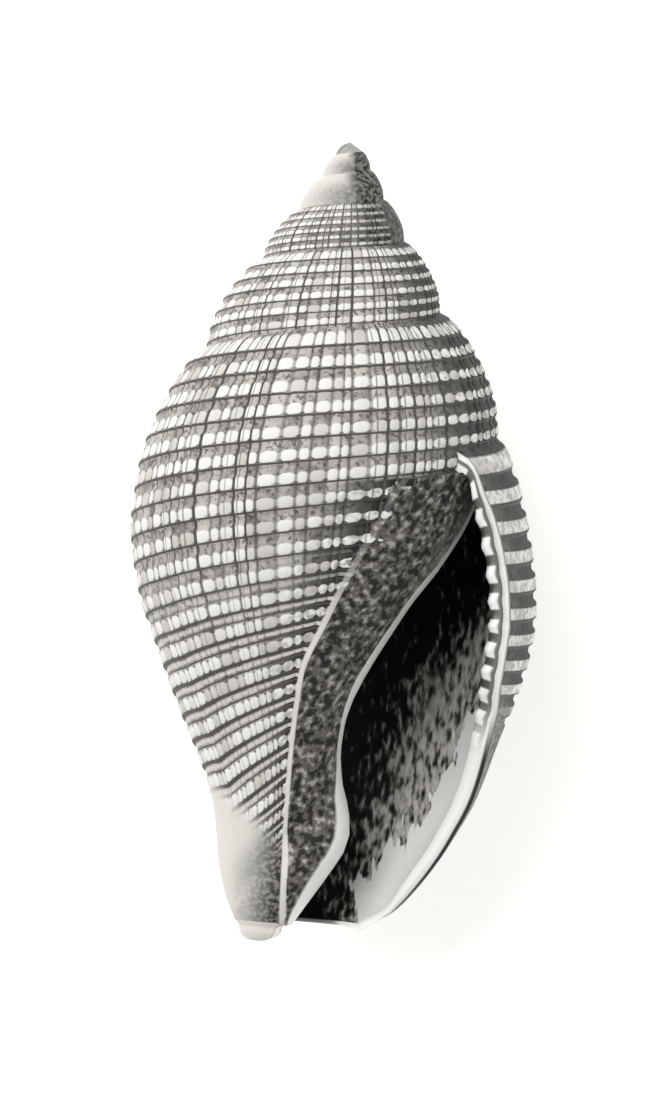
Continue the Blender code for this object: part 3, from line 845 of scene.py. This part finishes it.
SPIRE_ROWS = np.append(cord_rows(0, SPIRE_CORDS, CORD_PLACES), SPIRE_CORDS)
OUTER_ROWS = np.concatenate((cord_rows(0, CORDS, CORD_PLACES),
                             cord_rows(CORDS, BASE_ROW, CANAL_PLACES), [BASE_ROW]))


def add_spire(bm):
    """The turns above the last one, from the smooth tip down."""
    joined_from = TURN_STARTS[0] - TURN
    early = np.arange(APEX_ANGLE, joined_from + EARLY_STEP / 2, EARLY_STEP)
    joined = np.arange(joined_from, TURN_STARTS[0] + EARLY_STEP / 2, EARLY_STEP)
    turns = [thread_columns(0, COARSE_PLACES), thread_columns(1, THREAD_PLACES),
             thread_columns(2, THREAD_PLACES)]
    add_patch(bm, outside, WALL, early, EARLY_ROWS)
    add_patch(bm, outside, WALL, joined, EARLY_ROWS[:-1])
    add_strip(bm, outside, WALL, (joined, EARLY_ROWS[-2]), (turns[0] - TURN, SPIRE_CORDS))
    add_strip(bm, outside, WALL, (joined[-1], EARLY_ROWS), (turns[0][1], SPIRE_ROWS[:-1]))
    turns[0] = turns[0][1:]
    for columns, below in zip(turns, turns[1:]):
        add_patch(bm, outside, WALL, columns, SPIRE_ROWS[:-1])
        add_strip(bm, outside, WALL, (columns, SPIRE_ROWS[-2]), (below - TURN, SPIRE_CORDS))


def add_wall_inside(bm, surface, start, first_row, shallow, opening_angle, opening_rows):
    """One wall of the hollow: coarse where it is deep, finer towards the opening."""
    deep = np.arange(start, shallow[0] - DEEP_STEP / 2, DEEP_STEP)
    deep_rows = np.arange(first_row, BASE_ROW + 1)
    rows = np.linspace(first_row, BASE_ROW, (BASE_ROW - first_row) * HOLLOW_ROWS_PER_CORD + 1)
    add_patch(bm, surface, HOLLOW, deep, deep_rows)
    add_strip(bm, surface, HOLLOW, (deep[-1], deep_rows), (shallow[0], rows))
    add_patch(bm, surface, HOLLOW, shallow, rows)
    add_strip(bm, surface, HOLLOW, (shallow[-1], rows), (opening_angle, opening_rows))
    return add_chain(bm, surface(*np.broadcast_arrays(start, deep_rows[1:-1] * 1.0))[0])[1]


def add_hollow(bm):
    """The pillar's wall, the inside of the outer wall, and the hollow's blind end."""
    columns = np.arange(DEEP_UNTIL, LIP_ANGLE - HOLLOW_STEP / 2, HOLLOW_STEP)
    beside_opening = OUTER_ROWS[OUTER_ROWS >= SEAM_ROW]
    pillar_end = add_wall_inside(bm, pillar, HOLLOW_END - TURN, SEAM_ROW, columns - TURN,
                                 OPENING_ANGLE, beside_opening)
    inner_end = add_wall_inside(bm, behind_lip, HOLLOW_END, 0, columns, LIP_ANGLE, OUTER_ROWS)
    blind_end = bmesh.ops.bridge_loops(bm, edges=pillar_end + inner_end)["faces"]
    set_plain(bm, blind_end, HOLLOW)


def add_rims(bm):
    """The lip's rim, and the rim of the canal up to where it opens."""
    on_seam = OUTER_ROWS[OUTER_ROWS <= SEAM_ROW - SPIRE_CORDS]
    add_strip(bm, lip_rim, RIM, (0.0, on_seam), (OUTER_ROWS[1], RIM_SHARES))
    add_patch(bm, lip_rim, RIM, OUTER_ROWS[1:], RIM_SHARES)
    columns = thread_columns(2, THREAD_PLACES)
    outer = columns[columns >= CANAL_END]
    inner = np.arange(CANAL_END, LIP_ANGLE + HOLLOW_STEP / 2, HOLLOW_STEP)
    inner = np.minimum(inner, LIP_ANGLE)
    add_patch(bm, base_rim, RIM, outer, RIM_SHARES[:-1])
    add_strip(bm, base_rim, RIM, (outer, RIM_SHARES[-2]), (inner, 1.0))


def open_edges(bm):
    return [edge for edge in bm.edges if edge.is_boundary]


def add_tip(bm, border):
    """Rounds off the pillar's tip with rings that draw in to its middle."""
    middle = sum((vert.co for edge in border for vert in edge.verts), Vector()) / (2 * len(border))
    made, last_size = [], 1.0
    for size, rise in TIP_RINGS:
        ring = bmesh.ops.extrude_edge_only(bm, edges=border)["geom"]
        made += [item for item in ring if isinstance(item, bmesh.types.BMFace)]
        edges = [item for item in ring if isinstance(item, bmesh.types.BMEdge)]
        border = [edge for edge in edges if edge.is_boundary]
        for vert in {vert for edge in border for vert in edge.verts}:
            vert.co = middle.lerp(vert.co, size / last_size)
            vert.co.y = -(BASE_DEPTH + rise) * MM
        last_size = size
    cap = bmesh.ops.holes_fill(bm, edges=border, sides=0)["faces"]
    poked = bmesh.ops.poke(bm, faces=cap)
    poked["verts"][0].co.y = -(BASE_DEPTH + TIP_RISE) * MM
    set_plain(bm, made + poked["faces"], WALL)


def close_ends(bm):
    """Closes the pillar's tip, the apex and the corners of the hollow's blind end."""
    lowest = -RIBBED_LIMIT * MM
    add_tip(bm, [edge for edge in open_edges(bm) if max(vert.co.y for vert in edge.verts) < lowest])
    caps = bmesh.ops.holes_fill(bm, edges=open_edges(bm), sides=0)["faces"]
    set_plain(bm, caps, HOLLOW)
    apex = max(caps, key=lambda face: face.calc_center_median().y)
    poked = bmesh.ops.poke(bm, faces=[apex])
    poked["verts"][0].co.y = 0.0
    set_plain(bm, poked["faces"], WALL, APEX_SHADE)


def set_down(bm):
    """Flattens the small spot on the back and sets the shell down on it."""
    for vert in bm.verts:
        vert.co.z = max(vert.co.z, -REST_DROP * MM)
    bmesh.ops.translate(bm, verts=bm.verts, vec=Vector((AXIS_ACROSS, APEX_ALONG, REST_DROP)) * MM)


def shell_mesh():
    bm = bmesh.new()
    bm.loops.layers.uv.new(PATTERN)
    for name in PLAIN_MARKS:
        bm.loops.layers.float.new(name)
    add_spire(bm)
    add_patch(bm, outside, WALL, thread_columns(2, THREAD_PLACES), OUTER_ROWS)
    add_hollow(bm)
    add_rims(bm)
    bmesh.ops.remove_doubles(bm, verts=bm.verts, dist=WELD * MM)
    close_ends(bm)
    bmesh.ops.recalc_face_normals(bm, faces=bm.faces)
    set_down(bm)
    mesh = bpy.data.meshes.new("shell_of_the_snail")
    bm.to_mesh(mesh)
    bm.free()
    mesh.shade_smooth()
    mesh.set_sharp_from_angle(angle=math.radians(SHARP_ANGLE))
    return mesh


def linear_share(share):
    if share <= 0.04045:
        return share / 12.92
    return ((share + 0.055) / 1.055) ** 2.4


def linear_colour(text):
    """A linear colour from its sRGB hex form."""
    shares = [int(text[start:start + 2], 16) / 255 for start in (1, 3, 5)]
    return (*map(linear_share, shares), 1.0)


def add_node(tree, kind, settings=(), inputs=(), output=0):
    """Adds a node, sets its options, and fills its sockets with links, colours or numbers."""
    node = tree.nodes.new(kind)
    for name, value in dict(settings).items():
        setattr(node, name, value)
    for name, value in inputs.items() if isinstance(inputs, dict) else enumerate(inputs):
        if isinstance(value, bpy.types.NodeSocket):
            tree.links.new(value, node.inputs[name])
        else:
            is_colour = isinstance(value, str)
            node.inputs[name].default_value = linear_colour(value) if is_colour else value
    return node.outputs[output]


def set_stops(ramp_output, stops):
    """Gives a colour ramp its stops, each a place and a colour."""
    elements = ramp_output.node.color_ramp.elements
    for _ in stops[2:]:
        elements.new(1.0)
    for element, (place_on_ramp, colour) in zip(elements, stops):
        element.position = place_on_ramp
        element.color = linear_colour(colour)
    return ramp_output


def new_material(name, roughness, shine=0.5):
    """A material, the sockets of its surface, and the function that adds nodes to it."""
    material = bpy.data.materials.new(name)
    material.use_nodes = True
    surface = material.node_tree.nodes["Principled BSDF"].inputs
    surface["Roughness"].default_value = roughness
    surface["Specular IOR Level"].default_value = shine
    surface["IOR"].default_value = ARAGONITE_IOR
    return material, surface, partial(add_node, material.node_tree)


def rise(value, low, high, full=1.0, least=0.0, way=SMOOTH):
    """Settings and inputs for a share that is least at the low value and full at the high one."""
    inputs = {"Value": value, "From Min": low, "From Max": high, "To Min": least, "To Max": full}
    return {"interpolation_type": way}, inputs


def grain(add, size, detail=2.0):
    """Even noise with grains of a size in millimetres."""
    place_on_shell = add(ON_SHELL, output="Object")
    return add(NOISE, (), {"Vector": place_on_shell, "Scale": 1 / (size * MM), "Detail": detail})


def stretched_grain(add, grains):
    """Noise that is drawn out, with a number of grains in a millimetre along each axis."""
    scale = [number / MM for number in grains]
    stretched = add("ShaderNodeMapping", inputs={
        "Vector": add(ON_SHELL, output="Object"), "Scale": scale})
    return add(NOISE, (), {"Vector": stretched, "Scale": 1.0})


def lay_over(add, colour, *layers):
    """Lays colours over the first one, each with the share that it covers."""
    for share, over in layers:
        colour = add(MIX, COLOUR_MIX, {0: share, 6: colour, 7: over}, 2)
    return colour


def edge_light(add, colour):
    """The bright band along the inner lip's turning edge: a painted highlight in white."""
    edge = add(MARK, {"attribute_name": "edge"}, output="Fac")
    begun = add(MAP_RANGE, *rise(edge, *EDGE_BEGINS))
    band = add(MAP_RANGE, *rise(edge, *EDGE_ENDS, begun))
    return lay_over(add, colour, (band, PORCELAIN))


def glaze_painted_shade(add):
    """The glaze, painted dark as shade, with fine darker and paler specks."""
    return set_stops(add(RAMP, inputs=(grain(add, SPECK_GRAIN),)), GLAZE_SPECKS)


def distance_from(add, value, place_on_it):
    away = add(MATH, SUBTRACT, (value, place_on_it))
    return add(MATH, ABSOLUTE, (away,))


def chance_in_cell(add, pattern, shift):
    """A random share for each cell of the pattern."""
    shifted = add(VECTOR_MATH, ADD, (pattern, shift))
    cell = add(VECTOR_MATH, FLOOR, (shifted,))
    return add(CHANCE, {"noise_dimensions": "2D"}, {"Vector": cell})


def furrow_lines(add, thread, nearest):
    """Narrow dark lines between the threads, some faint, with a second one in some threads."""
    chance = add(CHANCE, {"noise_dimensions": "1D"}, {"W": nearest})
    strength = add(MAP_RANGE, *rise(chance, *FAINT_FURROWS, least=FAINTEST_FURROW, way=EVEN))
    from_furrow = distance_from(add, thread, nearest)
    main = add(MAP_RANGE, *rise(from_furrow, *FURROW_LINE, strength))
    number = add(MATH, FLOOR, (thread,))
    chance = add(CHANCE, {"noise_dimensions": "1D"}, {"W": number})
    strength = add(MAP_RANGE, *rise(chance, *SECOND_LINE_CHANCES, SECOND_LINE_STRENGTH, way=EVEN))
    first, last = SECOND_LINE_PLACES
    centre = add(MAP_RANGE, *rise(chance, 0.0, 1.0, last, first, way=EVEN))
    across = add(MATH, FRACT, (thread,))
    from_centre = distance_from(add, across, centre)
    second = add(MAP_RANGE, *rise(from_centre, *SECOND_LINE, strength))
    return add(MATH, MAXIMUM, (main, second))


def between_colour(add, pattern, shade):
    """Stippled grooves painted grey as shade; the grey differs from cell to cell and with the
    shade.
    """
    chance = chance_in_cell(add, pattern, HALF_A_ROW)
    clouds = grain(add, BETWEEN_CLOUD_GRAIN)
    clouds = add(MAP_RANGE, *rise(clouds, *BETWEEN_CLOUDS, least=LEAST_CLOUD))
    dark = add(MATH, MULTIPLY, (chance, clouds))
    colour = lay_over(add, BETWEEN_LIGHT, (dark, BETWEEN_DARK), (shade, WALL_PAINTED_SHADE))
    stipple = add(MAP_RANGE, *rise(grain(add, STIPPLE_GRAIN), *STIPPLED))
    return add(MIX, TINT, {0: stipple, 6: colour, 7: STIPPLE_DARK}, 2)


def cord_colour(add, pattern, shade):
    """The cords' tops, white with a few worn cells, and painted greyer where shade is painted."""
    chance = chance_in_cell(add, pattern, (0.0, 0.0, 0.0))
    worn = add(MAP_RANGE, *rise(chance, *WORN_CELLS))
    shaded = add(MAP_RANGE, *rise(grain(add, CORD_CLOUD_GRAIN), *CORD_CLOUDS, shade))
    return lay_over(add, CORD_WHITE, (worn, CORD_WORN), (shaded, CORD_SHADED))


def ribbed_colour(add, shade):
    """White cords, painted shadow lines under them, stippled grooves in painted shade, and the
    furrows' lines over all.
    """
    pattern = add("ShaderNodeUVMap", {"uv_map": PATTERN})
    split = add("ShaderNodeSeparateXYZ", inputs=(pattern,)).node
    thread, row = split.outputs["X"], split.outputs["Y"]
    across = add(MATH, FRACT, (row,))
    nearest = add(MATH, ROUND, (thread,))
    strength = add(MARK, {"attribute_name": "furrows"}, output="Fac")
    low_down = add(MAP_RANGE, *rise(row, *FINE_THREAD_ROWS))

    squeeze = add(MAP_RANGE, *rise(row, *FIRST_CORD_ENDS, least=FIRST_CORD_SQUEEZE, way=EVEN))
    off_cord = add(MATH, MULTIPLY, (distance_from(add, across, 0.5), squeeze))
    lost = add(MATH, MULTIPLY, (shade, SHADED_TOP_LOST))
    off_top = add(MATH, ADD, (off_cord, lost))
    beaded = add(MAP_RANGE, *rise(strength, *BEADED_STRENGTH, BEAD_TOP_LOST))
    from_furrow = distance_from(add, thread, nearest)
    lost = add(MAP_RANGE, *rise(from_furrow, *BEAD_REACH, beaded))
    off_top = add(MATH, ADD, (off_top, lost))
    on_cord = add(MAP_RANGE, *rise(off_top, *WHITE_TOP))
    fine = add(MAP_RANGE, *rise(off_cord, *FINE_THREAD_BEGINS, low_down))

    lines = add(MATH, MULTIPLY, (furrow_lines(add, thread, nearest), strength))
    # Dark lines under and over each cord; the one under it is a painted shadow.
    under_and_over = ((UNDER_LINE, UNDER_LINE_WIDTH, 1.0),
                      (UNDER_LINE, LOW_UNDER_LINE_WIDTH, low_down),
                      (OVER_LINE, OVER_LINE_WIDTH, low_down))
    for centre, width, share in under_and_over:
        off_line = distance_from(add, across, centre)
        line = add(MAP_RANGE, *rise(off_line, *width, share))
        lines = add(MATH, MAXIMUM, (lines, line))

    return lay_over(add, between_colour(add, pattern, shade),
                    (on_cord, cord_colour(add, pattern, shade)), (fine, FINE_THREAD),
                    (lines, DARK_LINE))


def plain_colour(add, shade):
    """The smooth parts: bone white, with a dark stipple of painted shade."""
    stipple = grain(add, STIPPLE_GRAIN, ROUGH_DETAIL)
    stipple = add(MAP_RANGE, *rise(stipple, *PLAIN_STIPPLED, least=LEAST_PLAIN_STIPPLE))
    painted_shade_share = add(MATH, MULTIPLY, (stipple, shade))
    return lay_over(add, BONE_WHITE, (painted_shade_share, WALL_PAINTED_SHADE))


def wall_material():
    """Ribbed aragonite: satin, bone white, with dark lines in its grooves, painted shade and
    shadow, and a glaze painted dark as shade.
    """
    material, surface, add = new_material("ribbed aragonite", roughness=0.6, shine=0.2)
    lattice, shade, reach, strength = (
        add(MARK, {"attribute_name": name}, output="Fac")
        for name in ("lattice", "shade", "glaze", "ridge"))
    ragged = grain(add, RAGGED_GRAIN, ROUGH_DETAIL)
    ragged = add(MAP_RANGE, *rise(ragged, *NOISE_SPAN, RAGGED_REACH, -RAGGED_REACH, way=EVEN))
    loose = add(MATH, SUBTRACT, (1.0, strength))
    ragged = add(MATH, MULTIPLY, (ragged, loose))
    covered = add(MATH, ADD, (reach, ragged))
    glazed = add(MAP_RANGE, *rise(covered, *GLAZED))
    begun = add(MAP_RANGE, *rise(reach, *RIDGE_BEGINS, strength))
    ridge = add(MAP_RANGE, *rise(reach, *RIDGE_ENDS, begun))
    colour = lay_over(add, plain_colour(add, shade), (lattice, ribbed_colour(add, shade)),
                      (glazed, glaze_painted_shade(add)), (ridge, BONE_WHITE))
    grit = add("ShaderNodeBump", inputs={"Height": grain(add, STIPPLE_GRAIN),
                                         "Strength": GRIT_STRENGTH, "Distance": GRIT_DEPTH * MM})
    material.node_tree.links.new(edge_light(add, colour), surface["Base Color"])
    material.node_tree.links.new(grit, surface["Normal"])
    return material


def rim_material():
    """Porcelain-like lip: smooth and white, with shade painted in the trough between ridge and
    teeth.
    """
    material, surface, add = new_material("porcelain lip", roughness=0.35)
    pattern = add("ShaderNodeUVMap", {"uv_map": PATTERN})
    split = add("ShaderNodeSeparateXYZ", inputs=(pattern,)).node
    share, row = split.outputs["X"], split.outputs["Y"]
    across = add(MATH, FRACT, (row,))
    inner = add(MAP_RANGE, *rise(share, *WHITE_TOOTH_BEGINS))
    off_tooth = distance_from(add, across, 0.5)
    tooth = add(MAP_RANGE, *rise(off_tooth, *WHITE_TOOTH_SIDES, inner))
    low_down = add(MAP_RANGE, *rise(row, *PLAIN_RIM_ROWS))
    by_canal = add(MAP_RANGE, *rise(row, BASE_ROW, BASE_ROW + 1))
    trough, plain, canal = (set_stops(add(RAMP, inputs=(share,)), stops)
                            for stops in (RIM_TROUGH, RIM_PLAIN, RIM_CANAL))
    colour = lay_over(add, trough, (tooth, PORCELAIN), (low_down, plain), (by_canal, canal))
    material.node_tree.links.new(colour, surface["Base Color"])
    return material


def hollow_material():
    """The hollow: glossy, painted near black as shade, streaked grey low down, with a white
    porcelain rim.
    """
    material, surface, add = new_material("hollow in painted shade", roughness=0.4)
    grey, reach, edge = (add(MARK, {"attribute_name": name}, output="Fac")
                         for name in ("grey", "porcelain", "edge"))
    darkest, palest = GREY_SHIFTS
    paler = add(MAP_RANGE, *rise(grey, *GREY_BEGINS, palest, darkest, way=EVEN))
    streak = add(MATH, ADD, (stretched_grain(add, STREAK_GRAINS), paler))
    jag = stretched_grain(add, JAG_GRAINS)
    jag = add(MAP_RANGE, *rise(jag, *NOISE_SPAN, JAG_REACH, -JAG_REACH, way=EVEN))
    jagged = add(MATH, ADD, (reach, jag))
    white = add(MAP_RANGE, *rise(jagged, *PORCELAIN_BEGINS))
    glazed = add(MAP_RANGE, *rise(edge, *EDGE_GLAZED))
    streaked = set_stops(add(RAMP, inputs=(streak,)), HOLLOW_STREAKS)
    colour = lay_over(add, streaked, (white, PORCELAIN), (glazed, glaze_painted_shade(add)))
    material.node_tree.links.new(edge_light(add, colour), surface["Base Color"])
    return material


def add_object(name, data):
    made = bpy.data.objects.new(name, data)
    bpy.context.scene.collection.objects.link(made)
    return made


def add_shell():
    shell = add_object("sea_shell", shell_mesh())
    for material in (wall_material(), hollow_material(), rim_material()):
        shell.data.materials.append(material)
    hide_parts("shell")
    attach(shell, "root")


def add_floor():
    bm = bmesh.new()
    bmesh.ops.create_grid(bm, x_segments=1, y_segments=1, size=FLOOR_SIZE)
    mesh = bpy.data.meshes.new("floor")
    bm.to_mesh(mesh)
    bm.free()
    material, surface, _ = new_material("matt white paper", roughness=0.9)
    surface["Base Color"].default_value = linear_colour(PAPER_WHITE)
    surface["Emission Color"].default_value = linear_colour(PAPER_WHITE)
    surface["Emission Strength"].default_value = FLOOR_GLOW
    mesh.materials.append(material)
    add_object("floor", mesh)


def add_camera():
    data = bpy.data.cameras.new("camera")
    data.lens = LENS
    data.sensor_width = SENSOR
    data.clip_start = NEAREST_VIEW
    camera = add_object("camera", data)
    height = REST_DROP + VIEW_LENGTH * LENS / SENSOR
    camera.location = Vector((*VIEW_CENTRE, height)) * MM
    camera.rotation_euler = (0, 0, math.radians(VIEW_TURN))
    bpy.context.scene.camera = camera


def add_area_light(name, direction, distance, size, watts):
    """A square soft light that faces the shell."""
    data = bpy.data.lights.new(name, "AREA")
    data.size = size
    data.energy = watts
    light = add_object(name, data)
    towards = Vector(direction).normalized()
    light.location = towards * distance
    light.rotation_euler = towards.to_track_quat("Z", "Y").to_euler()


def add_lights():
    for light in LIGHTS:
        add_area_light(*light)
    world = bpy.data.worlds.new("even daylight")
    world.use_nodes = True
    background = world.node_tree.nodes["Background"]
    background.inputs["Color"].default_value = (1, 1, 1, 1)
    background.inputs["Strength"].default_value = DAYLIGHT
    bpy.context.scene.world = world
    bpy.context.scene.view_settings.view_transform = "Standard"


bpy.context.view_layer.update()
add_camera()
add_shell()
add_floor()
add_lights()
